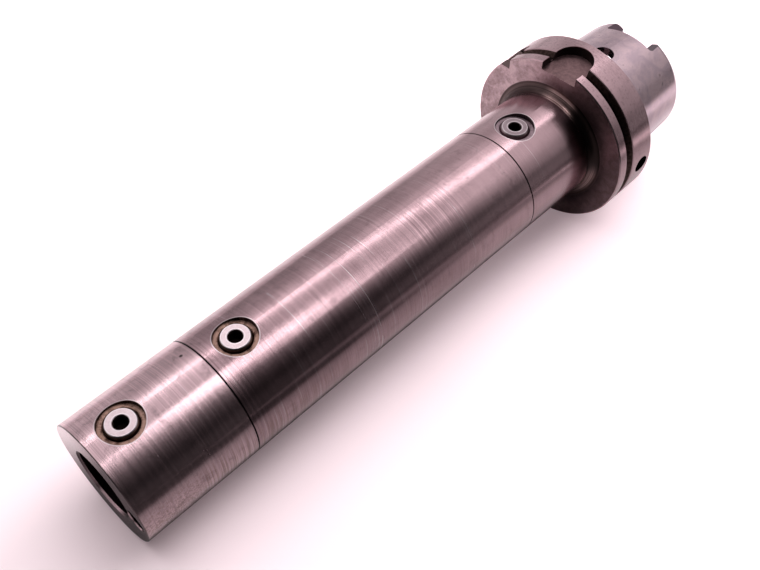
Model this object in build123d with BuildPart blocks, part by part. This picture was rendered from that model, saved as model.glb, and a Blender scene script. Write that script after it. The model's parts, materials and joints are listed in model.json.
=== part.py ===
from build123d import *
import os
from math import atan, cos, degrees, radians, sin, sqrt, tan

# A hollow-taper boring-bar holder built from three steel modules that are clamped end to end:
# a shank adapter, a long extension and a short extension. Millimetres throughout.
# Stations are measured along the tool axis from the flange's contact face, positive towards the nose.
# Azimuths are measured round the tool axis from the top, positive towards +Y.

# Reaches of the modules
adapter_reach = 80.0
middle_length = 192.0
front_length = 61.0

# Flange with its gripper groove
flange_diameter = 100.0
flange_width = 29.0
flange_rear_chamfer = 0.8
flange_front_chamfer = 0.6
groove_station = 20.0
groove_root_diameter = 92.0
groove_rim_width = 6.5
groove_angle = 60.0

# Hollow taper shank
shank_length = 50.0
shank_large_diameter = 75.013
shank_taper = 10.0
shank_end_round = 3.2
root_relief_depth = 0.6
root_relief_width = 2.2
hollow_bore_diameter = 53.0
hollow_bore_end_station = -35.0
hollow_lead_in = 1.5
clamping_undercut_diameter = 63.0
clamping_shoulder_angle = 30.0
undercut_front_station = -7.0
hollow_floor_diameter = 44.0
hollow_floor_station = -3.0
tube_thread_drill_diameter = 22.5
tube_thread_depth = 15.0
drive_slot_width = 20.02
drive_slot_depth = 10.2
drive_slot_corner_radius = 1.5
slot_flare_root_height = 29.0
slot_flare_slope = 0.5
slot_flare_half_width = 20.0
slot_flare_corner_radius = 2.0
access_hole_diameter = 12.0
access_hole_station = -14.2

# Keyways, notch and chip hole milled into the flange
shallow_keyway_width = 22.0
shallow_keyway_floor = 44.0
deep_keyway_width = 20.0
deep_keyway_floor = 32.0
keyway_end_station = 5.4
notch_azimuth = -45.0
notch_root_radius = 45.2
notch_angle = 90.0
notch_length = 18.0
chip_hole_diameter = 10.0
chip_hole_depth = 4.6
chip_hole_station = 7.8
chip_hole_azimuth = 90.0

# Cylindrical bodies and the modular coupling
body_diameter = 63.0
neck_fillet = 5.0
edge_break = 0.4
coupling_bore_diameter = 34.0
coupling_bore_depth = 43.0
coupling_bore_chamfer = 1.0
pilot_clearance = 0.02
pilot_length = 40.0
pilot_chamfer = 1.5
coolant_bore_diameter = 10.0

# Radial screws of the coupling
screw_station_back = 17.5
counterbore_diameter = 21.0
counterbore_floor_radius = 28.8
screw_diameter = 15.0
screw_clearance = 0.05
screw_hole_chamfer = 0.8
screw_face_radius = 30.8
screw_edge_chamfer = 0.75
hex_across_flats = 6.0
hex_depth = 6.0
hex_mouth_diameter = 7.6
clamped_tip_radius = 15.1
open_tip_radius = 17.3
cone_angle = 90.0
tip_flat_diameter = 6.0
tip_shoulder_height = 2.4
retaining_counterbore_diameter = 20.0
retaining_counterbore_floor_radius = 30.0
retaining_face_radius = 30.4
retaining_end_radius = 17.1

# Floating clamp pin in each pilot
clamp_pin_diameter = 13.0
clamp_pin_clearance = 0.05
clamp_pin_top_radius = 16.0
clamp_pin_tip_radius = 17.6
clamp_pin_shoulder_radius = 15.0
clamp_pin_seat_gap = 0.05
pin_cross_hole_diameter = 5.0

# Locating pin in each male shoulder
locating_pin_diameter = 10.0
locating_pin_play = 0.5
locating_pin_offset = 23.7
locating_pin_azimuth = 90.0
locating_pin_seat = 8.0
locating_pin_reach = 6.0
locating_pin_chamfer = 0.8
pin_hole_depth = 8.0
pin_hole_chamfer = 0.5

# Derived sizes
flange_radius = flange_diameter / 2
body_radius = body_diameter / 2
bore_radius = coupling_bore_diameter / 2
coolant_radius = coolant_bore_diameter / 2
first_joint = adapter_reach
second_joint = first_joint + middle_length
nose_station = second_joint + front_length
nose_face_radius = body_radius - edge_break


def shank_radius(station):
    return shank_large_diameter / 2 + station / (2 * shank_taper)


# Resting place: the tool lies on the two rim corners of its deep keyway and on the rim of its nose,
# so its axis falls slightly towards the nose. The origin is the middle of the underside of its box.
keyway_rim_radius = sqrt(flange_radius**2 - (deep_keyway_width / 2) ** 2)
flange_contact_station = flange_width - flange_front_chamfer
nose_contact_station = nose_station - edge_break
rest_tilt = atan((keyway_rim_radius - body_radius) / (nose_contact_station - flange_contact_station))
gauge_height = flange_contact_station * sin(rest_tilt) + keyway_rim_radius * cos(rest_tilt)

shank_end_radius = shank_radius(-shank_length) - shank_end_round
shank_corner_drop = sqrt(shank_end_radius**2 - (drive_slot_width / 2) ** 2)
rear_reach = -shank_length * cos(rest_tilt) - shank_corner_drop * sin(rest_tilt)
nose_reach = nose_station * cos(rest_tilt) + nose_face_radius * sin(rest_tilt)
gauge_point = Vector(-(rear_reach + nose_reach) / 2, 0, gauge_height)

axis_direction = Vector(cos(rest_tilt), 0, -sin(rest_tilt))
up_direction = Vector(sin(rest_tilt), 0, cos(rest_tilt))
side_direction = Vector(0, 1, 0)
tool_axis = Axis(gauge_point, axis_direction)

# Sections are drawn here: x runs along the stations and y is the radius
section = Plane(origin=gauge_point, x_dir=axis_direction, z_dir=-side_direction)


def on_axis(station):
    return gauge_point + axis_direction * station


def outward(azimuth):
    return up_direction * cos(radians(azimuth)) + side_direction * sin(radians(azimuth))


def across(station, azimuth=0):
    # A plane square to the tool axis: y points outwards at this azimuth and x towards a larger one
    tangent = outward(azimuth).cross(axis_direction)
    return Plane(origin=on_axis(station), x_dir=tangent, z_dir=axis_direction)


def radial(station, azimuth, radius):
    # A plane that faces outwards at this radius: x runs towards the nose
    origin = on_axis(station) + outward(azimuth) * radius
    return Plane(origin=origin, x_dir=axis_direction, z_dir=outward(azimuth))


def radial_section(station, azimuth):
    # Sections of screws and pins are drawn here: x is the distance from the screw's own line, y the radius
    turned = outward(azimuth)
    return Plane(origin=on_axis(station), x_dir=axis_direction, z_dir=axis_direction.cross(turned))


def radial_line(station, azimuth):
    return Axis(on_axis(station), outward(azimuth))


def bore_profile(face_station):
    # Inner corners of a female coupling, from its face to the coolant bore
    floor_station = face_station - coupling_bore_depth
    return [
        (face_station, bore_radius + coupling_bore_chamfer),
        (face_station - coupling_bore_chamfer, bore_radius),
        (floor_station, bore_radius),
        (floor_station, coolant_radius),
    ]


def body_end_profile(face_station):
    return [
        (face_station - edge_break, body_radius),
        (face_station, body_radius - edge_break),
    ]


def pilot_profile(shoulder_station):
    # Outer corners of a male coupling, from its end face to its shoulder
    pilot_radius = bore_radius - pilot_clearance
    end_station = shoulder_station - pilot_length
    return [
        (end_station, coolant_radius),
        (end_station, pilot_radius - pilot_chamfer),
        (end_station + pilot_chamfer, pilot_radius),
        (shoulder_station, pilot_radius),
        (shoulder_station, body_radius - edge_break),
        (shoulder_station + edge_break, body_radius),
    ]


# Features that both the adapter and the extensions carry. Each is cut from the part that is being built.


def drill(plane, radius, amount, taper=0):
    # A round hole with its mouth on this plane
    with BuildSketch(plane) as mouth:
        Circle(radius)
    extrude(mouth.sketch, amount=amount, taper=taper, mode=Mode.SUBTRACT)


def drill_for_locating_pin(face_station, radius, amount, taper=0):
    with BuildSketch(across(face_station)) as mouth:
        with Locations(locating_pin_place()):
            Circle(radius)
    extrude(mouth.sketch, amount=amount, taper=taper, mode=Mode.SUBTRACT)


def cut_female_coupling(face_station):
    station = face_station - screw_station_back
    counterbore = counterbore_diameter / 2
    retaining_counterbore = retaining_counterbore_diameter / 2
    drill(radial(station, 0, counterbore_floor_radius), counterbore, body_radius)
    drill(radial(station, 0, 0), screw_diameter / 2, body_radius)
    screw_hole_mouth = radial(station, 0, counterbore_floor_radius)
    drill(screw_hole_mouth, screw_diameter / 2 + screw_hole_chamfer, -screw_hole_chamfer, taper=45)
    drill(radial(station, 180, retaining_counterbore_floor_radius), retaining_counterbore, body_radius)
    drill(radial(station, 180, 0), screw_diameter / 2, body_radius)
    hole_radius = locating_pin_diameter / 2 + locating_pin_play
    drill_for_locating_pin(face_station, hole_radius, -pin_hole_depth)
    drill_for_locating_pin(face_station, hole_radius + pin_hole_chamfer, -pin_hole_chamfer, taper=45)


def cut_male_coupling(shoulder_station):
    station = shoulder_station - screw_station_back
    drill(radial(station, 180, -bore_radius), clamp_pin_diameter / 2 + clamp_pin_clearance, 2 * bore_radius)
    drill_for_locating_pin(shoulder_station, locating_pin_diameter / 2, locating_pin_seat)


def locating_pin_place():
    turn = radians(locating_pin_azimuth)
    return (locating_pin_offset * sin(turn), locating_pin_offset * cos(turn))


# Shank adapter: taper shank, flange and female coupling in one turned piece

groove_flank = (flange_diameter - groove_root_diameter) / 2
groove_root_width = groove_rim_width - 2 * groove_flank * tan(radians(groove_angle / 2))
undercut_radius = clamping_undercut_diameter / 2
hollow_bore_radius = hollow_bore_diameter / 2
shoulder_run = (undercut_radius - hollow_bore_radius) / tan(radians(clamping_shoulder_angle))
relief_radius = shank_radius(0) - root_relief_depth
thread_end_station = hollow_floor_station + tube_thread_depth

adapter_outline = [
    (-shank_length, hollow_bore_radius + hollow_lead_in),
    (-shank_length, shank_radius(-shank_length)),
    (-root_relief_width, shank_radius(-root_relief_width)),
    (-root_relief_width + root_relief_depth, relief_radius),
    (root_relief_depth, relief_radius),
    (root_relief_depth, shank_radius(0) + root_relief_width),
    (0, shank_radius(0) + root_relief_width + root_relief_depth),
    (0, flange_radius - flange_rear_chamfer),
    (flange_rear_chamfer, flange_radius),
    (groove_station - groove_rim_width / 2, flange_radius),
    (groove_station - groove_root_width / 2, groove_root_diameter / 2),
    (groove_station + groove_root_width / 2, groove_root_diameter / 2),
    (groove_station + groove_rim_width / 2, flange_radius),
    (flange_width - flange_front_chamfer, flange_radius),
    (flange_width, flange_radius - flange_front_chamfer),
    (flange_width, body_radius),
    *body_end_profile(first_joint),
    *bore_profile(first_joint),
    (thread_end_station, coolant_radius),
    (thread_end_station, tube_thread_drill_diameter / 2),
    (hollow_floor_station, tube_thread_drill_diameter / 2),
    (hollow_floor_station, hollow_floor_diameter / 2),
    (undercut_front_station, hollow_floor_diameter / 2),
    (undercut_front_station, undercut_radius),
    (hollow_bore_end_station + shoulder_run, undercut_radius),
    (hollow_bore_end_station, hollow_bore_radius),
    (hollow_lead_in - shank_length, hollow_bore_radius),
]


def cut_keyway(azimuth, width, floor_radius):
    # Open at the flange's front face, with a full round end towards the shank
    end_centre = keyway_end_station + width / 2
    with BuildSketch(radial(end_centre, azimuth, floor_radius)) as outline:
        Circle(width / 2)
        Rectangle(flange_width, width, align=(Align.MIN, Align.CENTER))
    extrude(outline.sketch, amount=flange_radius, mode=Mode.SUBTRACT)


def slot_flare(azimuth):
    # Above its root the slot's walls lean outwards, so it is wider where it breaks through the taper
    half_slot = drive_slot_width / 2
    rise = (slot_flare_half_width - half_slot) * slot_flare_slope
    flare_top = shank_large_diameter / 2 + rise
    outline = [
        (half_slot, slot_flare_root_height),
        (slot_flare_half_width, slot_flare_root_height + rise),
        (slot_flare_half_width, flare_top),
        (-slot_flare_half_width, flare_top),
        (-slot_flare_half_width, slot_flare_root_height + rise),
        (-half_slot, slot_flare_root_height),
    ]
    with BuildPart() as flare:
        with BuildSketch(across(drive_slot_depth - shank_length, azimuth)):
            with BuildLine():
                Polyline(*outline, close=True)
            make_face()
        extrude(amount=-2 * drive_slot_depth)
        floor = faces().sort_by(tool_axis)[-1]
        leaning = floor.edges().sort_by(radial_line(0, azimuth))[1:3]
        fillet(leaning, radius=slot_flare_corner_radius)
    return flare.part


with BuildPart() as shank_adapter:
    with BuildSketch(section):
        with BuildLine():
            Polyline(*adapter_outline, close=True)
        make_face()
        neck_corner = vertices().sort_by_distance((flange_width, body_radius))[0]
        fillet(neck_corner, radius=neck_fillet)
        end_corner = vertices().sort_by_distance((-shank_length, shank_radius(-shank_length)))[0]
        fillet(end_corner, radius=shank_end_round)
    revolve(axis=tool_axis)
    cut_keyway(0, shallow_keyway_width, shallow_keyway_floor)
    cut_keyway(180, deep_keyway_width, deep_keyway_floor)
    cut_female_coupling(first_joint)
    # Orientation notch, a vee through the front collar into the rear one
    notch_depth = flange_radius - notch_root_radius
    notch_mouth = 2 * notch_depth * tan(radians(notch_angle / 2))
    with BuildSketch(across(flange_width, notch_azimuth)):
        with BuildLine():
            Polyline(
                (0, notch_root_radius),
                (notch_mouth, notch_root_radius + 2 * notch_depth),
                (-notch_mouth, notch_root_radius + 2 * notch_depth),
                close=True,
            )
        make_face()
    extrude(amount=-notch_length, mode=Mode.SUBTRACT)
    # Chip hole in the rear collar
    chip_hole_floor = flange_radius - chip_hole_depth
    chip_hole = radial(chip_hole_station, chip_hole_azimuth, chip_hole_floor)
    drill(chip_hole, chip_hole_diameter / 2, flange_radius)
    # Drive slots across the end of the shank, above and below its axis
    with BuildSketch(radial(-shank_length, 0, 0)):
        Rectangle(2 * drive_slot_depth, drive_slot_width)
        fillet(vertices(), radius=drive_slot_corner_radius)
    extrude(amount=shank_large_diameter, both=True, mode=Mode.SUBTRACT)
    add(slot_flare(0), mode=Mode.SUBTRACT)
    add(slot_flare(180), mode=Mode.SUBTRACT)
    # Access holes to the clamping mechanism, through both sides of the shank wall
    with BuildSketch(radial(access_hole_station, 0, 0)):
        Circle(access_hole_diameter / 2)
    extrude(amount=shank_large_diameter, both=True, mode=Mode.SUBTRACT)


def build_extension(rear_station, front_station):
    outline = [
        *pilot_profile(rear_station),
        *body_end_profile(front_station),
        *bore_profile(front_station),
    ]
    with BuildPart() as extension:
        with BuildSketch(section):
            with BuildLine():
                Polyline(*outline, close=True)
            make_face()
        revolve(axis=tool_axis)
        cut_female_coupling(front_station)
        cut_male_coupling(rear_station)
    return extension.part


def build_clamp_screw(station, tip_radius):
    # Flat-faced screw with a hexagon socket and a cone at its inner end
    shell = screw_diameter / 2 - screw_clearance
    tip = tip_flat_diameter / 2
    cone_top = tip_radius + tip_shoulder_height
    cone_radius = tip + tip_shoulder_height * tan(radians(cone_angle / 2))
    outline = [
        (0, tip_radius),
        (tip, tip_radius),
        (cone_radius, cone_top),
        (shell, cone_top),
        (shell, screw_face_radius - screw_edge_chamfer),
        (shell - screw_edge_chamfer, screw_face_radius),
        (0, screw_face_radius),
    ]
    with BuildPart() as screw:
        with BuildSketch(radial_section(station, 0)):
            with BuildLine():
                Polyline(*outline, close=True)
            make_face()
        revolve(axis=radial_line(station, 0))
        cut_hex_socket(station, 0, screw_face_radius)
    return screw.part


def cut_hex_socket(station, azimuth, face_radius):
    hex_radius = hex_across_flats / sqrt(3)
    mouth_depth = (hex_mouth_diameter - hex_across_flats) / 2
    with BuildSketch(radial(station, azimuth, face_radius)) as hexagon:
        RegularPolygon(hex_radius, 6)
    extrude(hexagon.sketch, amount=-hex_depth, mode=Mode.SUBTRACT)
    drill(radial(station, azimuth, face_radius), hex_mouth_diameter / 2, -mouth_depth, taper=45)


def build_retaining_screw(station):
    # Counter screw, with the conical seat for the clamp pin in its inner end
    shell = screw_diameter / 2 - screw_clearance
    seat_mouth = pin_cone_radius(retaining_end_radius) + clamp_pin_seat_gap
    seat_depth = seat_mouth * tan(radians(cone_angle / 2))
    outline = [
        (0, retaining_end_radius + seat_depth),
        (seat_mouth, retaining_end_radius),
        (shell, retaining_end_radius),
        (shell, retaining_face_radius - screw_edge_chamfer),
        (shell - screw_edge_chamfer, retaining_face_radius),
        (0, retaining_face_radius),
    ]
    with BuildPart() as screw:
        with BuildSketch(radial_section(station, 180)):
            with BuildLine():
                Polyline(*outline, close=True)
            make_face()
        revolve(axis=radial_line(station, 180))
        cut_hex_socket(station, 180, retaining_face_radius)
    return screw.part


def pin_cone_radius(radius):
    # Radius of the clamp pin's lower cone at this distance from the tool axis
    return tip_flat_diameter / 2 + (clamp_pin_tip_radius - radius) * tan(radians(cone_angle / 2))


def build_clamp_pin(station):
    # Concave cone under the clamp screw, convex cone over the retaining screw, cross hole for coolant
    shell = clamp_pin_diameter / 2
    tip = tip_flat_diameter / 2
    seat_reach = clamp_pin_top_radius - clamped_tip_radius
    seat_mouth = tip + seat_reach * tan(radians(cone_angle / 2)) + clamp_pin_seat_gap
    seat_depth = seat_mouth * tan(radians(cone_angle / 2))
    outline = [
        (0, clamp_pin_top_radius - seat_depth),
        (seat_mouth, clamp_pin_top_radius),
        (shell, clamp_pin_top_radius),
        (shell, -clamp_pin_shoulder_radius),
        (pin_cone_radius(clamp_pin_shoulder_radius), -clamp_pin_shoulder_radius),
        (tip, -clamp_pin_tip_radius),
        (0, -clamp_pin_tip_radius),
    ]
    with BuildPart() as pin:
        with BuildSketch(radial_section(station, 0)):
            with BuildLine():
                Polyline(*outline, close=True)
            make_face()
        revolve(axis=radial_line(station, 0))
        with BuildSketch(across(station)):
            Circle(pin_cross_hole_diameter / 2)
        extrude(amount=clamp_pin_diameter, both=True, mode=Mode.SUBTRACT)
    return pin.part


def build_locating_pin(shoulder_station):
    start = across(shoulder_station + locating_pin_seat)
    with BuildPart() as pin:
        with BuildSketch(start):
            with Locations(locating_pin_place()):
                Circle(locating_pin_diameter / 2)
        extrude(amount=-(locating_pin_seat + locating_pin_reach))
        free_end = faces().sort_by(tool_axis)[0]
        chamfer(free_end.edges(), length=locating_pin_chamfer)
    return pin.part


def save(part, name):
    part.label = name
    export_step(part, f"parts/{name}.step")


os.makedirs("parts", exist_ok=True)
save(shank_adapter.part, "shank_adapter")
save(build_extension(first_joint, second_joint), "middle_extension")
save(build_extension(second_joint, nose_station), "front_extension")

couplings = {
    "rear": (first_joint, clamped_tip_radius),
    "middle": (second_joint, clamped_tip_radius),
    "front": (nose_station, open_tip_radius),
}
for place, (face_station, tip_radius) in couplings.items():
    screw_station = face_station - screw_station_back
    save(build_clamp_screw(screw_station, tip_radius), f"{place}_clamp_screw")
    save(build_retaining_screw(screw_station), f"{place}_retaining_screw")

for place, joint_station in {"rear": first_joint, "front": second_joint}.items():
    save(build_clamp_pin(joint_station - screw_station_back), f"{place}_clamp_pin")
    save(build_locating_pin(joint_station), f"{place}_locating_pin")

print("The axis falls", round(degrees(rest_tilt), 4), "degrees; gauge point", gauge_point)
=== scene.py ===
import json
from math import cos, pi, radians, sin

import bpy
from mathutils import Euler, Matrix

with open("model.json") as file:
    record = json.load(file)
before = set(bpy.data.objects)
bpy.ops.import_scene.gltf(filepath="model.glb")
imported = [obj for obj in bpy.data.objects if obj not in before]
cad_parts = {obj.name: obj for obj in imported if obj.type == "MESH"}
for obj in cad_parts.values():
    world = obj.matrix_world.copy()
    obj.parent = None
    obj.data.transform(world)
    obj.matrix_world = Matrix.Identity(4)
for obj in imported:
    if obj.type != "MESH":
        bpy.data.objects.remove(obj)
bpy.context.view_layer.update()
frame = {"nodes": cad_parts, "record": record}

# The tool axis in the row frame: the gauge point lies on it at the flange's contact face
REST_TILT = radians(3.2906)
GAUGE_POINT = (-0.141293, 0.0, 0.0505392)
AXIS = (cos(REST_TILT), 0.0, -sin(REST_TILT))
UPRIGHT = (sin(REST_TILT), 0.0, cos(REST_TILT))

# Millimetres on the tool: stations run from the contact face towards the nose
BODY_RADIUS = 31.5
JOINTS = (80.0, 272.0)
NOSE = 333.0
SCREWS = (62.5, 254.5, 315.5)
SCREW_RADIUS = 7.5
SCREW_FACE = 30.8
COUNTERBORE_RADIUS = 10.5
FLANGE_RADIUS = 50.0
FILLET = (29.05, 33.4)
GROOVE = (17.0, 23.1)
KEYWAYS = (5.0, 28.9)
KEYWAY_HALF_WIDTH = 11.3
NOTCH = (10.5, 28.5)
CHIP_POCKET = (2.7, 12.9)
SMALL_PIT = (277.6, -9.0, 30.2)
LINE_CLUSTER = (126.0, 152.0)
# Station, half width and strength of each ring scratch
RING_SCRATCHES = ((194.0, 0.08, 0.85), (200.5, 0.05, 0.4), (127.0, 0.05, 0.45))

# Depths of the two reliefs in metres
TURNING_DEPTH = 0.00004
SCREW_GRAIN_DEPTH = 0.00005

# Single colours
STEEL_DARK = (0.33, 0.205, 0.23)
STEEL_LIGHT = (0.86, 0.575, 0.625)
FRONT_STEEL = (0.98, 0.685, 0.74)
NOSE_FACE = (0.94, 0.71, 0.76)
SCRATCH_LIGHT = (0.95, 0.82, 0.86)
SHADE = (0.16, 0.1, 0.11)
BROWN_GRAIN = (0.3, 0.18, 0.15)
NOTCH_BROWN = (0.2, 0.135, 0.135)
# Painted shade at the outer ends of the shank's slots
SLOT_MOUTH_SHADE = (0.12, 0.075, 0.1)
# Near black, painted as shade in corners, grooves, keyways, slots and the bore
PAINTED_SHADE_BLACK = (0.03, 0.02, 0.019)
# Near black, painted as shade on counterbore walls, in screw gaps and on the nose's bevel, and used for one
# small pit
SHADE_AND_PIT_DARK = (0.022, 0.015, 0.013)
BLACK = (0.006, 0.005, 0.005)
REAR_SCREW_GREY = (0.3, 0.22, 0.25)
# Painted shade inside the screws' hex sockets
SOCKET_SHADE = (0.035, 0.022, 0.02)
# A milder painted shade for the gap round the rear clamp screw
REAR_GAP_SHADE = (0.24, 0.165, 0.19)

# Pairs of tones that a blend runs between, the darker one first
DIRT_TONES = ((0.1, 0.05, 0.04), (0.56, 0.34, 0.28))
GREY_DIRT_TONES = ((0.27, 0.19, 0.215), (0.46, 0.33, 0.37))
LIT_FLANGE_TONES = ((0.27, 0.18, 0.19), (0.58, 0.41, 0.44))
SHADED_FLANGE_TONES = ((0.22, 0.13, 0.14), (0.4, 0.25, 0.27))
FILLET_TONES = ((0.16, 0.095, 0.09), (0.62, 0.4, 0.38))
REAR_FLANK_TONES = ((0.05, 0.03, 0.026), (0.12, 0.075, 0.07))
KEYWAY_FLOOR_TONES = ((0.17, 0.1, 0.105), (0.36, 0.215, 0.225))
SHANK_TONES = ((0.74, 0.55, 0.63), (0.9, 0.66, 0.72))
SCREW_TONES = ((0.68, 0.53, 0.56), (0.85, 0.68, 0.72))
SCREW_SIDE_TONES = ((0.24, 0.15, 0.125), (0.4, 0.29, 0.32))
PIN_TONES = ((0.4, 0.33, 0.35), (0.6, 0.52, 0.54))

# Most of a noise lies in this range
SPREAD = (0.3, 0.7)
# A surface's share of facing along the axis, from a slope to a face square to the axis
SQUARE_ON = (0.85, 0.97)


class Graph:
    """Builds a node tree with short calls. Sockets, numbers and tuples can all be inputs."""

    def __init__(self, tree):
        self.tree = tree

    def add(self, kind, inputs=(), output=0, **settings):
        """A new node with these inputs and settings. One of its outputs is handed back."""
        node = self.tree.nodes.new(kind)
        for name, value in settings.items():
            setattr(node, name, value)
        pairs = inputs.items() if isinstance(inputs, dict) else enumerate(inputs)
        for key, value in pairs:
            self.join(value, node.inputs[key])
        return node.outputs[output]

    def join(self, value, socket):
        """Links an output to this input, or writes a plain value into it."""
        if isinstance(value, bpy.types.NodeSocket):
            self.tree.links.new(value, socket)
        elif isinstance(value, tuple) and len(value) == 3 and socket.type == "RGBA":
            socket.default_value = (*value, 1.0)
        else:
            socket.default_value = value

    def math(self, operation, *values):
        return self.add("ShaderNodeMath", values, operation=operation)

    def chain(self, operation, first, *others):
        """Joins any number of values with one operation, from left to right."""
        for other in others:
            first = self.math(operation, first, other)
        return first

    def times(self, *values):
        return self.chain("MULTIPLY", *values)

    def plus(self, *values):
        return self.chain("ADD", *values)

    def largest(self, *values):
        return self.chain("MAXIMUM", *values)

    def without(self, value):
        """1 where the value is 0, and 0 where it is 1."""
        return self.math("SUBTRACT", 1.0, value)

    def vector(self, operation, *values, output="Vector"):
        return self.add("ShaderNodeVectorMath", values, output, operation=operation)

    def measure(self, operation, *values):
        """A vector operation that gives a number."""
        return self.vector(operation, *values, output="Value")

    def combine(self, x, y, z):
        return self.add("ShaderNodeCombineXYZ", (x, y, z))

    def split(self, vector):
        node = self.tree.nodes.new("ShaderNodeSeparateXYZ")
        self.join(vector, node.inputs[0])
        return node.outputs

    def ramp(self, value, low, high, start=0.0, end=1.0, smooth=True):
        """Value from low to high becomes start to end, clamped."""
        kind = "SMOOTHSTEP" if smooth else "LINEAR"
        return self.add("ShaderNodeMapRange", (value, low, high, start, end), interpolation_type=kind)

    def fall(self, value, low, high):
        """1 up to low, 0 from high on."""
        return self.ramp(value, low, high, 1.0, 0.0)

    def band(self, value, low, high, soft):
        """1 between low and high, fading to 0 over soft on both sides."""
        return self.times(self.ramp(value, low - soft, low), self.fall(value, high, high + soft))

    def profile(self, value, points):
        """Straight lines through these points, level before the first and after the last."""
        total = points[0][1]
        for (low, start), (high, end) in zip(points, points[1:]):
            total = self.plus(self.ramp(value, low, high, 0.0, end - start, smooth=False), total)
        return total

    def noise(self, vector, scale, detail, rough, distortion=0.0):
        inputs = {"Vector": vector, "Scale": scale, "Detail": detail, "Roughness": rough}
        return self.add("ShaderNodeTexNoise", {**inputs, "Distortion": distortion})

    def mix(self, factor, first, second):
        """A blend of two numbers."""
        return self.add("ShaderNodeMix", {0: factor, 2: first, 3: second}, data_type="FLOAT")

    def colour(self, factor, first, second):
        """A blend of two colours."""
        node = self.tree.nodes.new("ShaderNodeMix")
        node.data_type = "RGBA"
        for key, value in (("Factor_Float", factor), ("A_Color", first), ("B_Color", second)):
            socket = next(s for s in node.inputs if s.identifier == key)
            self.join(value, socket)
        return next(s for s in node.outputs if s.identifier == "Result_Color")


class ToolSpace:
    """Places and directions along and round the tool as sockets. Places are in millimetres."""

    def __init__(self, g):
        self.g = g
        place = g.add("ShaderNodeTexCoord", output="Object")
        inputs = {"Vector": place, "Location": GAUGE_POINT, "Rotation": (0.0, REST_TILT, 0.0)}
        along = g.add("ShaderNodeMapping", inputs, vector_type="TEXTURE")
        self.point = g.vector("MULTIPLY", along, (1000.0, 1000.0, 1000.0))
        self.station, self.side, self.up = g.split(self.point)
        self.radius = g.measure("LENGTH", g.combine(0.0, self.side, self.up))
        away = g.vector("SUBTRACT", place, GAUGE_POINT)
        radial = g.vector("SUBTRACT", away, g.vector("PROJECT", away, AXIS))
        normal = g.add("ShaderNodeNewGeometry", output="Normal")
        self.tangent = g.vector("CROSS_PRODUCT", normal, g.vector("CROSS_PRODUCT", AXIS, away))
        # How much the surface faces along the axis, away from the axis, and straight up or down
        self.facing = g.math("ABSOLUTE", g.measure("DOT_PRODUCT", normal, AXIS))
        self.outward = g.math("ABSOLUTE", g.measure("DOT_PRODUCT", normal, g.vector("NORMALIZE", radial)))
        self.upward = g.math("ABSOLUTE", g.measure("DOT_PRODUCT", normal, UPRIGHT))

    def rings(self, spacing, detail, waver):
        """Noise that runs round the tool, in lines about this far apart."""
        g = self.g
        stretched = g.vector("MULTIPLY", self.point, (1.0 / spacing, waver, waver))
        return g.noise(stretched, 1.0, detail, 0.6)

    def from_screw(self, station):
        """Distance from a radial screw's own line. Under the tool it is large everywhere."""
        g = self.g
        along = g.math("SUBTRACT", self.station, station)
        distance = g.measure("LENGTH", g.combine(along, self.side, 0.0))
        underneath = g.math("LESS_THAN", self.up, 0.0)
        return g.plus(distance, g.times(underneath, 1000.0))


class Steel:
    """A metal look laid on in layers: the bare metal first, then stains, shade and dirt."""

    def __init__(self, name):
        self.material = bpy.data.materials.new(name)
        self.material.use_nodes = True
        self.shader = self.material.node_tree.nodes["Principled BSDF"]
        self.shader.inputs["Metallic"].default_value = 1.0
        self.g = Graph(self.material.node_tree)
        self.t = ToolSpace(self.g)
        self.colour = None
        self.roughness = None

    def cover(self, layer, *strengths):
        """Lays a colour over what is there, as strongly as these say when multiplied."""
        self.colour = self.g.colour(self.g.times(*strengths), self.colour, layer)

    def dull(self, roughness, *strengths):
        """Brings the roughness to this value, as strongly as these say when multiplied."""
        self.roughness = self.g.mix(self.g.times(*strengths), self.roughness, roughness)

    def roughen(self, *amounts):
        """Adds the product of these to the roughness."""
        self.roughness = self.g.plus(self.roughness, self.g.times(*amounts))

    def brush(self, anisotropy):
        """Stretches the reflections as turning lines round the axis do."""
        self.shader.inputs["Anisotropic"].default_value = anisotropy
        self.g.join(self.t.tangent, self.shader.inputs["Tangent"])

    def emboss(self, height, depth):
        """A fine relief, with its depth in metres."""
        bump = self.g.add("ShaderNodeBump", {"Strength": 0.2, "Distance": depth, "Height": height})
        self.g.join(bump, self.shader.inputs["Normal"])

    def finish(self):
        self.g.join(self.colour, self.shader.inputs["Base Color"])
        self.g.join(self.roughness, self.shader.inputs["Roughness"])
        return self.material


def turned_surface(steel, contrast):
    """Bare steel with hair lines, streaks, bright and dark scratches and patches. Gives its height."""
    g, t = steel.g, steel.t
    hair = t.rings(0.4, 2.0, 0.008)
    line = t.rings(0.9, 2.0, 0.012)
    streak = t.rings(1.6, 2.0, 0.008)
    broad = t.rings(9.0, 3.0, 0.03)
    patch = g.noise(t.point, 0.05, 3.0, 0.6)
    fine = g.times(g.ramp(hair, *SPREAD, -1.0, 1.0), contrast)
    coarse = g.times(g.ramp(streak, 0.35, 0.65, -0.6, 0.6), contrast)
    tone = g.plus(fine, g.ramp(broad, *SPREAD, -0.03, 0.03), g.ramp(patch, *SPREAD, 0.38, 0.6), coarse)
    steel.colour = g.colour(tone, STEEL_DARK, STEEL_LIGHT)
    steel.cover(SCRATCH_LIGHT, g.ramp(line, 0.64, 0.7), g.ramp(patch, 0.42, 0.6), 0.55)
    steel.cover(STEEL_DARK, g.fall(line, 0.3, 0.36), 0.4)
    steel.roughness = g.plus(g.ramp(line, *SPREAD, 0.18, 0.21), g.ramp(streak, 0.35, 0.65, -0.008, 0.008))
    return g.plus(hair, g.times(line, 0.7))


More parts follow.
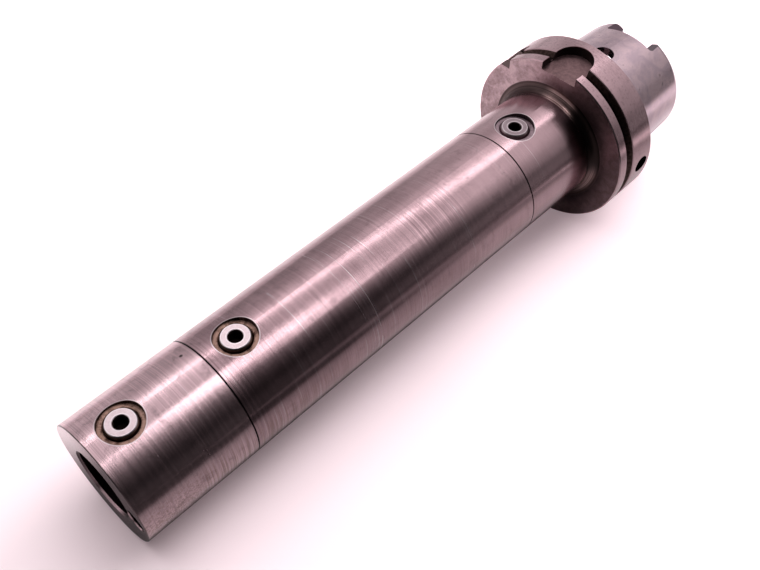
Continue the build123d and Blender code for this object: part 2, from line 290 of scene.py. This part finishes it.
def counterbores(steel, stations, tones, gap_shade):
    """Mottled floor, painted shade on the wall and in the gap, and bright edge of the clamp screws'
    counterbores.
    """
    g, t = steel.g, steel.t
    mottled = g.ramp(g.noise(t.point, 0.3, 4.0, 0.65), 0.38, 0.62)
    for station in stations:
        distance = t.from_screw(station)
        well = g.fall(distance, COUNTERBORE_RADIUS - 0.02, COUNTERBORE_RADIUS + 0.05)
        shaded_wall = g.ramp(distance, COUNTERBORE_RADIUS - 0.3, COUNTERBORE_RADIUS - 0.1)
        shaded_gap = g.fall(distance, SCREW_RADIUS + 0.2, SCREW_RADIUS + 0.4)
        worn = g.band(distance, COUNTERBORE_RADIUS - 1.4, COUNTERBORE_RADIUS - 0.5, 0.4)
        edge = g.band(distance, COUNTERBORE_RADIUS + 0.12, COUNTERBORE_RADIUS + 0.5, 0.1)
        steel.cover(g.colour(g.plus(mottled, g.times(worn, 0.3)), *tones), well)
        # Painted shade on the counterbore's wall and in the gap round the screw
        steel.cover(SHADE_AND_PIT_DARK, well, shaded_wall, 0.85)
        steel.cover(gap_shade, well, shaded_gap)
        steel.cover(SCRATCH_LIGHT, edge, 0.6)
        steel.dull(0.5, well)
        steel.roughen(edge, 0.12)


def paler_bar(steel):
    """The front extension and the start of the long one are paler than the rest."""
    g, t = steel.g, steel.t
    front = g.ramp(t.station, JOINTS[1], JOINTS[1] + 0.1)
    paler = g.plus(g.times(front, 0.6), g.ramp(t.station, 95.0, 185.0, 0.5, 0.0))
    steel.cover(g.colour(front, STEEL_LIGHT, FRONT_STEEL), paler)
    steel.roughen(front, 0.03)


def bar_stains(steel):
    """Smudges that grow towards the nose, brown grain low on the side, and one small pit."""
    g, t = steel.g, steel.t
    stain = g.noise(t.point, 0.12, 6.0, 0.72, 0.4)
    smudge = g.times(g.ramp(stain, 0.52, 0.68), g.ramp(t.station, 225.0, 285.0, 0.2, 0.38))
    steel.cover(SHADE, smudge)
    steel.roughen(smudge, 0.1)
    grains = g.mix(g.ramp(t.station, 293.0, 310.0), t.rings(0.8, 3.0, 0.025), g.noise(t.point, 0.9, 4.0, 0.7))
    low_side = g.times(g.fall(t.up, 2.0, 14.0), g.ramp(t.side, 10.0, 20.0))
    towards_nose = g.ramp(t.station, 190.0, 280.0, 0.25, 0.6)
    steel.cover(BROWN_GRAIN, g.ramp(grains, 0.42, 0.62), low_side, towards_nose)
    from_pit = g.measure("DISTANCE", t.point, SMALL_PIT)
    steel.cover(SHADE_AND_PIT_DARK, g.fall(from_pit, 0.6, 1.0), 0.85)


def ring_scratches(steel):
    """Three scratches that run round the long extension, worn away in places."""
    g, t = steel.g, steel.t
    unworn = g.ramp(g.noise(t.point, 0.06, 2.0, 0.5), 0.4, 0.58, 0.25, 1.0)
    for station, width, strength in RING_SCRATCHES:
        ring = g.times(g.band(t.station, station - width, station + width, 0.15), unworn)
        steel.cover(SCRATCH_LIGHT, ring, strength)
        steel.roughen(ring, 0.2 * strength)


def nose_end(steel):
    """Pale ring face with painted shade on its edges. All that is inside the bar is painted nearly black as
    shade.
    """
    g, t = steel.g, steel.t
    face = g.times(g.ramp(t.facing, 0.85, 0.95), g.ramp(t.station, NOSE - 1.0, NOSE - 0.5))
    bevel = g.band(t.facing, 0.5, 0.85, 0.05)
    steel.cover(NOSE_FACE, face, 0.8)
    steel.cover(SHADE_AND_PIT_DARK, bevel, g.ramp(t.radius, BODY_RADIUS - 0.5, BODY_RADIUS - 0.4), 0.8)
    shaded_inside = g.fall(t.radius, 28.4, 28.6)
    steel.cover(PAINTED_SHADE_BLACK, shaded_inside, g.without(face), g.without(g.times(bevel, 0.6)))


def bar_steel(name):
    """The long and the front extension."""
    steel = Steel(name)
    g, t = steel.g, steel.t
    cluster = g.times(g.band(t.station, *LINE_CLUSTER, 6.0), g.band(t.side, 4.0, 18.0, 3.0))
    contrast = g.plus(g.times(cluster, 0.35), g.ramp(t.station, 265.0, 273.0, 0.08, 0.45))
    height = turned_surface(steel, contrast)
    steel.emboss(g.times(height, g.ramp(t.station, JOINTS[1], JOINTS[1] + 1.0, 0.8, 2.0)), TURNING_DEPTH)
    steel.brush(0.7)
    paler_bar(steel)
    bar_stains(steel)
    ring_scratches(steel)
    nose_end(steel)
    counterbores(steel, SCREWS[1:], DIRT_TONES, SHADE_AND_PIT_DARK)
    joint_lines = [g.band(t.station, station - 0.3, station + 0.3, 0.12) for station in JOINTS]
    steel.cover(BLACK, g.largest(*joint_lines), 0.92)
    return steel.finish()


def flange_face(steel, mottled, blotch):
    """The flange's front face: brown, with painted shade that deepens away from the notch and turns black in
    the corner at the neck.
    """
    g, t = steel.g, steel.t
    in_front = g.times(g.ramp(t.facing, *SQUARE_ON), g.ramp(t.station, 10.0, 12.0))
    collar = g.times(in_front, g.ramp(t.radius, 34.5, 37.5))
    grain = g.plus(g.ramp(mottled, *SPREAD, 0.0, 0.4), g.ramp(blotch, 0.38, 0.62, 0.0, 0.6))
    lit_side = g.colour(grain, *LIT_FLANGE_TONES)
    shaded_side = g.colour(grain, *SHADED_FLANGE_TONES)
    # Painted shade: a lit and a shaded copy of the face, darker away from the notch
    steel.cover(g.colour(g.ramp(t.side, -30.0, 5.0), lit_side, shaded_side), collar, 0.95)
    # Painted shade and reflection: black in the corner at the neck
    steel.cover(PAINTED_SHADE_BLACK, g.fall(t.radius, 35.0, 46.0), g.ramp(t.side, -12.0, 16.0), collar, 0.7)
    steel.dull(0.4, collar)


def neck_fillet(steel):
    """The fillet is brown with feed lines. Both its sides and the neck beside it carry painted shade."""
    g, t = steel.g, steel.t
    fillet = g.times(g.band(t.station, *FILLET, 0.4), g.fall(t.radius, 36.4, 36.8))
    feed_lines = g.ramp(t.rings(0.6, 1.0, 0.004), 0.35, 0.65)
    left = g.times(g.fall(t.side, -8.0, 2.0), 0.7)
    right = g.times(g.ramp(t.side, 12.0, 18.0), g.ramp(t.up, -8.0, 4.0, 0.35, 0.95))
    shaded = g.colour(g.largest(left, right), g.colour(feed_lines, *FILLET_TONES), PAINTED_SHADE_BLACK)
    steel.cover(shaded, fillet, 0.92)
    steel.dull(0.33, fillet)
    left = g.times(g.fall(t.side, -8.0, 0.0), 0.7)
    right = g.times(g.ramp(t.side, 10.0, 17.0), g.ramp(t.up, -4.0, 6.0))
    near_fillet = g.times(g.fall(t.station, 35.0, 47.0), g.fall(t.radius, 36.0, 37.0))
    steel.cover(PAINTED_SHADE_BLACK, g.largest(left, right), near_fillet, 0.85)


def flange_edge(steel, mottled, blotch):
    """Worn lands, a groove brown on its rear flank, and black painted shade below it and on the keyways'
    walls.
    """
    g, t = steel.g, steel.t
    rim = FLANGE_RADIUS
    steel.cover(STEEL_DARK, g.ramp(t.radius, rim - 0.5, rim - 0.2), g.ramp(mottled, 0.5, 0.7), 0.45)
    sunk = g.times(g.fall(t.radius, rim - 0.6, rim - 0.3), g.ramp(t.radius, 36.5, 38.5))
    groove = g.times(g.band(t.station, *GROOVE, 0.1), sunk)
    rear_flank = g.colour(g.ramp(mottled, *SPREAD), *REAR_FLANK_TONES)
    # Painted shade: the groove black where it is deep
    below = g.largest(g.fall(t.radius, 46.4, 46.9), g.ramp(t.station, 19.1, 19.6))
    steel.cover(g.colour(below, rear_flank, PAINTED_SHADE_BLACK), groove)
    sideways = g.math("ABSOLUTE", t.side)
    within = g.fall(sideways, KEYWAY_HALF_WIDTH, KEYWAY_HALF_WIDTH + 0.3)
    keyway = g.times(g.band(t.station, *KEYWAYS, 0.1), within, sunk)
    # Painted shade: the whole keyway black, with the floor laid over it below so that the walls stay black
    steel.cover(PAINTED_SHADE_BLACK, keyway)
    grain = g.plus(g.ramp(mottled, *SPREAD, 0.0, 0.5), g.ramp(blotch, *SPREAD, 0.0, 0.5))
    steel.cover(g.colour(grain, *KEYWAY_FLOOR_TONES), keyway, g.ramp(t.upward, 0.9, 0.96))
    steel.dull(0.45, g.largest(groove, keyway))


def ground_shank(steel, blotch):
    """Smooth steel in pink and violet tones, with small dark specks."""
    g, t = steel.g, steel.t
    shank = g.fall(t.station, 0.0, 0.3)
    specks = g.ramp(g.noise(t.point, 0.35, 3.0, 0.6), 0.66, 0.72)
    tint = g.colour(g.ramp(blotch, 0.35, 0.65), *SHANK_TONES)
    steel.cover(g.colour(g.times(specks, 0.5), tint, SHADE), shank, 0.95)
    steel.dull(0.24, shank, 0.7)


def adapter_recesses(steel):
    """Brown notch, and slots, access holes, hollow and chip pocket painted dark as shade."""
    g, t = steel.g, steel.t
    walls = g.fall(t.facing, 0.5, 0.6)
    notch = g.times(g.fall(t.outward, 0.93, 0.98), g.fall(t.side, -28.0, -27.0))
    steel.cover(NOTCH_BROWN, notch, g.band(t.station, *NOTCH, 0.2), walls)
    skin = g.largest(g.ramp(t.outward, 0.93, 0.98), g.ramp(t.facing, *SQUARE_ON))
    recess = g.times(g.fall(t.station, 12.0, 12.2), g.without(skin), walls)
    hollow = g.times(g.fall(t.station, 8.0, 8.2), g.fall(t.radius, 31.6, 32.0))
    # Painted shade in the slots, access holes and hollow
    slot_shade = g.colour(g.ramp(t.station, -42.0, -38.0), SLOT_MOUTH_SHADE, PAINTED_SHADE_BLACK)
    steel.cover(slot_shade, g.largest(recess, hollow), 0.93)
    # Painted shade: the chip pocket black
    pocket = g.times(g.ramp(t.side, 40.0, 41.0), g.fall(t.radius, FLANGE_RADIUS - 0.8, FLANGE_RADIUS - 0.5))
    steel.cover(BLACK, g.band(t.station, *CHIP_POCKET, 0.1), pocket)


def adapter_steel(name):
    """The adapter, from the joint line at its neck to the end of the shank."""
    steel = Steel(name)
    g, t = steel.g, steel.t
    steel.emboss(turned_surface(steel, 0.06), TURNING_DEPTH)
    steel.brush(0.6)
    steel.cover(STEEL_LIGHT, 0.4)
    blotch = g.noise(t.point, 0.12, 5.0, 0.65, 0.5)
    mottled = g.noise(t.point, 0.6, 4.0, 0.65)
    flange_face(steel, mottled, blotch)
    neck_fillet(steel)
    flange_edge(steel, mottled, blotch)
    ground_shank(steel, blotch)
    adapter_recesses(steel)
    counterbores(steel, SCREWS[:1], GREY_DIRT_TONES, REAR_GAP_SHADE)
    steel.cover(BLACK, g.ramp(t.station, JOINTS[0] - 0.45, JOINTS[0] - 0.33), 0.92)
    return steel.finish()


def screw_steel(name):
    """Flat screw faces with bright rings at their edges and round the sockets, sockets in painted shade, and
    dirty sides.
    """
    steel = Steel(name)
    g, t = steel.g, steel.t
    mottled = g.noise(t.point, 0.35, 4.0, 0.6)
    steel.colour = g.colour(g.ramp(mottled, *SPREAD), *SCREW_TONES)
    steel.roughness = g.ramp(mottled, *SPREAD, 0.3, 0.38)
    steel.emboss(g.noise(t.point, 3.0, 2.0, 0.5), SCREW_GRAIN_DEPTH)
    # The rear screw is greyer than the other two
    greyer = g.ramp(t.station, 100.0, 101.0, 0.75, 0.0)
    steel.cover(REAR_SCREW_GREY, greyer)
    sides = g.colour(greyer, *SCREW_SIDE_TONES)
    below = g.fall(t.up, SCREW_FACE - 0.3, SCREW_FACE - 0.2)
    off_face = g.fall(t.up, SCREW_FACE - 0.35, SCREW_FACE - 0.2)
    for station in SCREWS:
        distance = t.from_screw(station)
        socket = g.times(g.fall(distance, 3.9, 4.0), below)
        rims = g.largest(g.band(distance, 6.4, 6.9, 0.15), g.band(distance, 3.8, 4.3, 0.12))
        steel.cover(SCRATCH_LIGHT, rims, 0.7)
        # Painted shade inside the socket
        steel.cover(SOCKET_SHADE, socket)
        steel.cover(sides, g.band(distance, SCREW_RADIUS - 0.45, 20.0, 0.1), off_face)
        steel.dull(0.5, socket)
    return steel.finish()


def pin_steel(name):
    """Plain hardened steel for the pins inside the couplings."""
    steel = Steel(name)
    g = steel.g
    mottled = g.noise(steel.t.point, 0.8, 3.0, 0.6)
    steel.colour = g.colour(mottled, *PIN_TONES)
    steel.roughness = g.ramp(mottled, *SPREAD, 0.25, 0.35)
    return steel.finish()


finishes = {
    "adapter_steel": adapter_steel("adapter_steel_look"),
    "bar_steel": bar_steel("bar_steel_look"),
    "screw_steel": screw_steel("screw_steel_look"),
    "pin_steel": pin_steel("pin_steel_look"),
}
slots = {part["node"]: part["material_slot"] for part in frame["record"]["subparts"]}
for name, node in frame["nodes"].items():
    finish = finishes[slots[name]]
    if not node.data.materials:
        node.data.materials.append(finish)
    for i in range(len(node.data.materials)):
        node.data.materials[i] = finish

# Across the floor: its painted shade in reflections, by metres from the axis towards the camera's side
REFLECTED_SHADE_BESIDE_BAR = (
    (0.022, 0.85), (0.034, 0.25), (0.053, 0.52), (0.085, 0.68), (0.154, 0.84), (0.19, 0.98),
)
# Along the bar: the floor's glow beside it, lower towards the nose as painted shadow, by metres from its
# middle towards the nose
GLOW_ALONG_BAR = ((-0.12, 0.53), (-0.03, 0.41), (0.03, 0.31), (0.1, 0.27), (0.19, 0.18))
PAPER = (0.9, 0.75, 0.79)
MIRRORED_PAPER = (0.84, 0.79, 0.8)
MIRRORED_DARK = (0.01, 0.01, 0.01)
GLOW_COLOUR = (1.0, 0.78, 0.84)


def floor_darkness(g, x, y):
    """How dark the floor is in reflections, as painted shade. On the camera's side it grows darker farther
    from the bar.
    """
    far_side = g.ramp(y, -0.35, -0.12, 0.5, 0.1)
    behind_flange = g.ramp(y, 0.2, 0.5, 0.2, 0.9)
    shade_beside_bar = g.math("SUBTRACT", g.profile(y, REFLECTED_SHADE_BESIDE_BAR), g.ramp(x, 0.0, -0.14, 0.0, 0.15))
    near_side = g.mix(g.ramp(x, -0.36, -0.26), behind_flange, shade_beside_bar)
    return g.mix(g.ramp(y, -0.06, -0.02), far_side, near_side)


def floor_glow(g, x, y):
    """How strongly the floor glows to the camera: less by the bar and towards the nose, a painted shadow over
    its real one, and 1 far off.
    """
    shade_beside_bar = g.ramp(g.math("ABSOLUTE", y), 0.014, 0.046, 0.4, 1.0)
    distance = g.measure("LENGTH", g.combine(x, y, 0.0))
    level = g.times(g.profile(x, GLOW_ALONG_BAR), shade_beside_bar)
    return g.mix(g.ramp(distance, 0.5, 1.0), level, 1.0)


def floor_look(name):
    """Pale paper that keeps the object's shadow, with painted shadow in its glow and painted shade in
    reflections.
    """
    material = bpy.data.materials.new(name)
    material.use_nodes = True
    g = Graph(material.node_tree)
    g.tree.nodes.clear()
    rays = g.tree.nodes.new("ShaderNodeLightPath").outputs
    x, y, _ = g.split(g.add("ShaderNodeNewGeometry", output="Position"))
    mirrored = g.largest(rays["Is Glossy Ray"], rays["Is Transmission Ray"])
    mirrored_colour = g.colour(floor_darkness(g, x, y), MIRRORED_PAPER, MIRRORED_DARK)
    paper = g.add("ShaderNodeBsdfDiffuse", {"Color": g.colour(mirrored, PAPER, mirrored_colour)})
    strength = g.times(rays["Is Camera Ray"], floor_glow(g, x, y))
    glow = g.add("ShaderNodeEmission", {"Color": GLOW_COLOUR, "Strength": strength})
    both = g.add("ShaderNodeAddShader", (paper, glow))
    g.join(both, g.tree.nodes.new("ShaderNodeOutputMaterial").inputs[0])
    return material


bpy.ops.mesh.primitive_plane_add(size=8.0, location=(0.0, 0.0, 0.0))
floor = bpy.context.object
floor.name = "studio_floor"
floor.data.materials.append(floor_look("studio_floor_look"))

# Brightness of the ceiling by its distance from overhead, in ceiling heights, towards the camera and
# towards the right of the picture
TOWARDS_CAMERA = (0.711, 0.703, 0.0)
TOWARDS_RIGHT = (-0.703, 0.711, 0.0)
CEILING_TOWARDS_CAMERA = (
    (-1.5, 0.4), (-0.6, 0.87), (-0.5, 0.64), (0.1, 0.62), (0.24, 0.16), (0.45, 0.05), (0.9, 0.02),
)
CEILING_TOWARDS_RIGHT = ((0.85, 1.0), (1.5, 0.6))
# Brightness of the walls by the cosine of the level angle from their directions
BACK_WALL = (-0.383, -0.924, 0.0)
BACK_WALL_LEVELS = ((0.955, 0.57), (1.0, 0.3))
SIDE_WALL = (-1.0, 0.0, 0.0)
SIDE_WALL_LEVELS = ((0.4, 0.03), (0.72, 0.22))
WORLD_WHITE = (1.0, 0.985, 0.99)


def studio_world(name):
    """White to the camera. For reflections it is a white room that darkens behind the camera."""
    world = bpy.data.worlds.new(name)
    world.use_nodes = True
    g = Graph(world.node_tree)
    g.tree.nodes.clear()
    direction = g.add("ShaderNodeTexCoord", output="Generated")
    x, y, z = g.split(direction)
    height = g.largest(z, 0.02)
    nearer = g.math("DIVIDE", g.measure("DOT_PRODUCT", direction, TOWARDS_CAMERA), height)
    farther_right = g.math("DIVIDE", g.measure("DOT_PRODUCT", direction, TOWARDS_RIGHT), height)
    ceiling = g.profile(nearer, CEILING_TOWARDS_CAMERA)
    ceiling = g.times(ceiling, g.profile(farther_right, CEILING_TOWARDS_RIGHT))
    level = g.vector("NORMALIZE", g.combine(x, y, 0.0))
    back_wall = g.profile(g.measure("DOT_PRODUCT", level, BACK_WALL), BACK_WALL_LEVELS)
    side_wall = g.profile(g.measure("DOT_PRODUCT", level, SIDE_WALL), SIDE_WALL_LEVELS)
    walls = g.mix(g.ramp(y, -0.05, 0.05), back_wall, side_wall)
    room = g.mix(g.ramp(z, 0.15, 0.4), walls, ceiling)
    strength = g.mix(g.add("ShaderNodeLightPath", output="Is Camera Ray"), room, 1.0)
    sky = g.add("ShaderNodeBackground", {"Color": WORLD_WHITE, "Strength": strength})
    g.join(sky, g.tree.nodes.new("ShaderNodeOutputWorld").inputs[0])
    return world


bpy.context.scene.world = studio_world("studio_world")

# Softboxes under the ceiling: centre, size, radiance, and turn of the long side from +X in degrees.
# Three narrow strips show in the steel, and the wide one lights the floor.
LAMP_HEIGHT = 0.97
LAMPS = {
    "rear_strip": ((-0.275, -0.445), (1.3, 0.13), 2.15, 134.7),
    "overhead_strip": ((-0.1, 0.215), (0.376, 0.17), 2.7, 129.6),
    "overhead_strip_end": ((-0.31, 0.47), (0.285, 0.17), 1.5, 129.3),
    "wide_softbox": ((-0.95, -0.3), (2.9, 1.9), 2.0, 160.0),
}
for name, (centre, size, radiance, turn) in LAMPS.items():
    lamp = bpy.data.lights.new(name, "AREA")
    lamp.shape = "RECTANGLE"
    lamp.size, lamp.size_y = size
    lamp.energy = radiance * pi * size[0] * size[1]
    holder = bpy.data.objects.new(name, lamp)
    bpy.context.scene.collection.objects.link(holder)
    holder.location = (*centre, LAMP_HEIGHT)
    holder.rotation_euler = (0.0, 0.0, radians(turn))
    holder.visible_camera = False
    holder.visible_glossy = name != "wide_softbox"

# Camera, fitted to the photo: the flange, the joint lines, the nose and the outlines of the bar
CAMERA_PLACE = (0.260851, 0.214764, 0.395027)
CAMERA_TURN = (41.137, -2.3546, 134.6271)
camera_data = bpy.data.cameras.new("photo_camera")
camera_data.sensor_width = 36.0
camera_data.lens = 44.61
camera_data.clip_start = 0.01
camera = bpy.data.objects.new("photo_camera", camera_data)
bpy.context.scene.collection.objects.link(camera)
camera.location = CAMERA_PLACE
camera.rotation_euler = Euler([radians(angle) for angle in CAMERA_TURN], "XYZ")
bpy.context.scene.camera = camera

bpy.context.scene.view_settings.view_transform = "Standard"
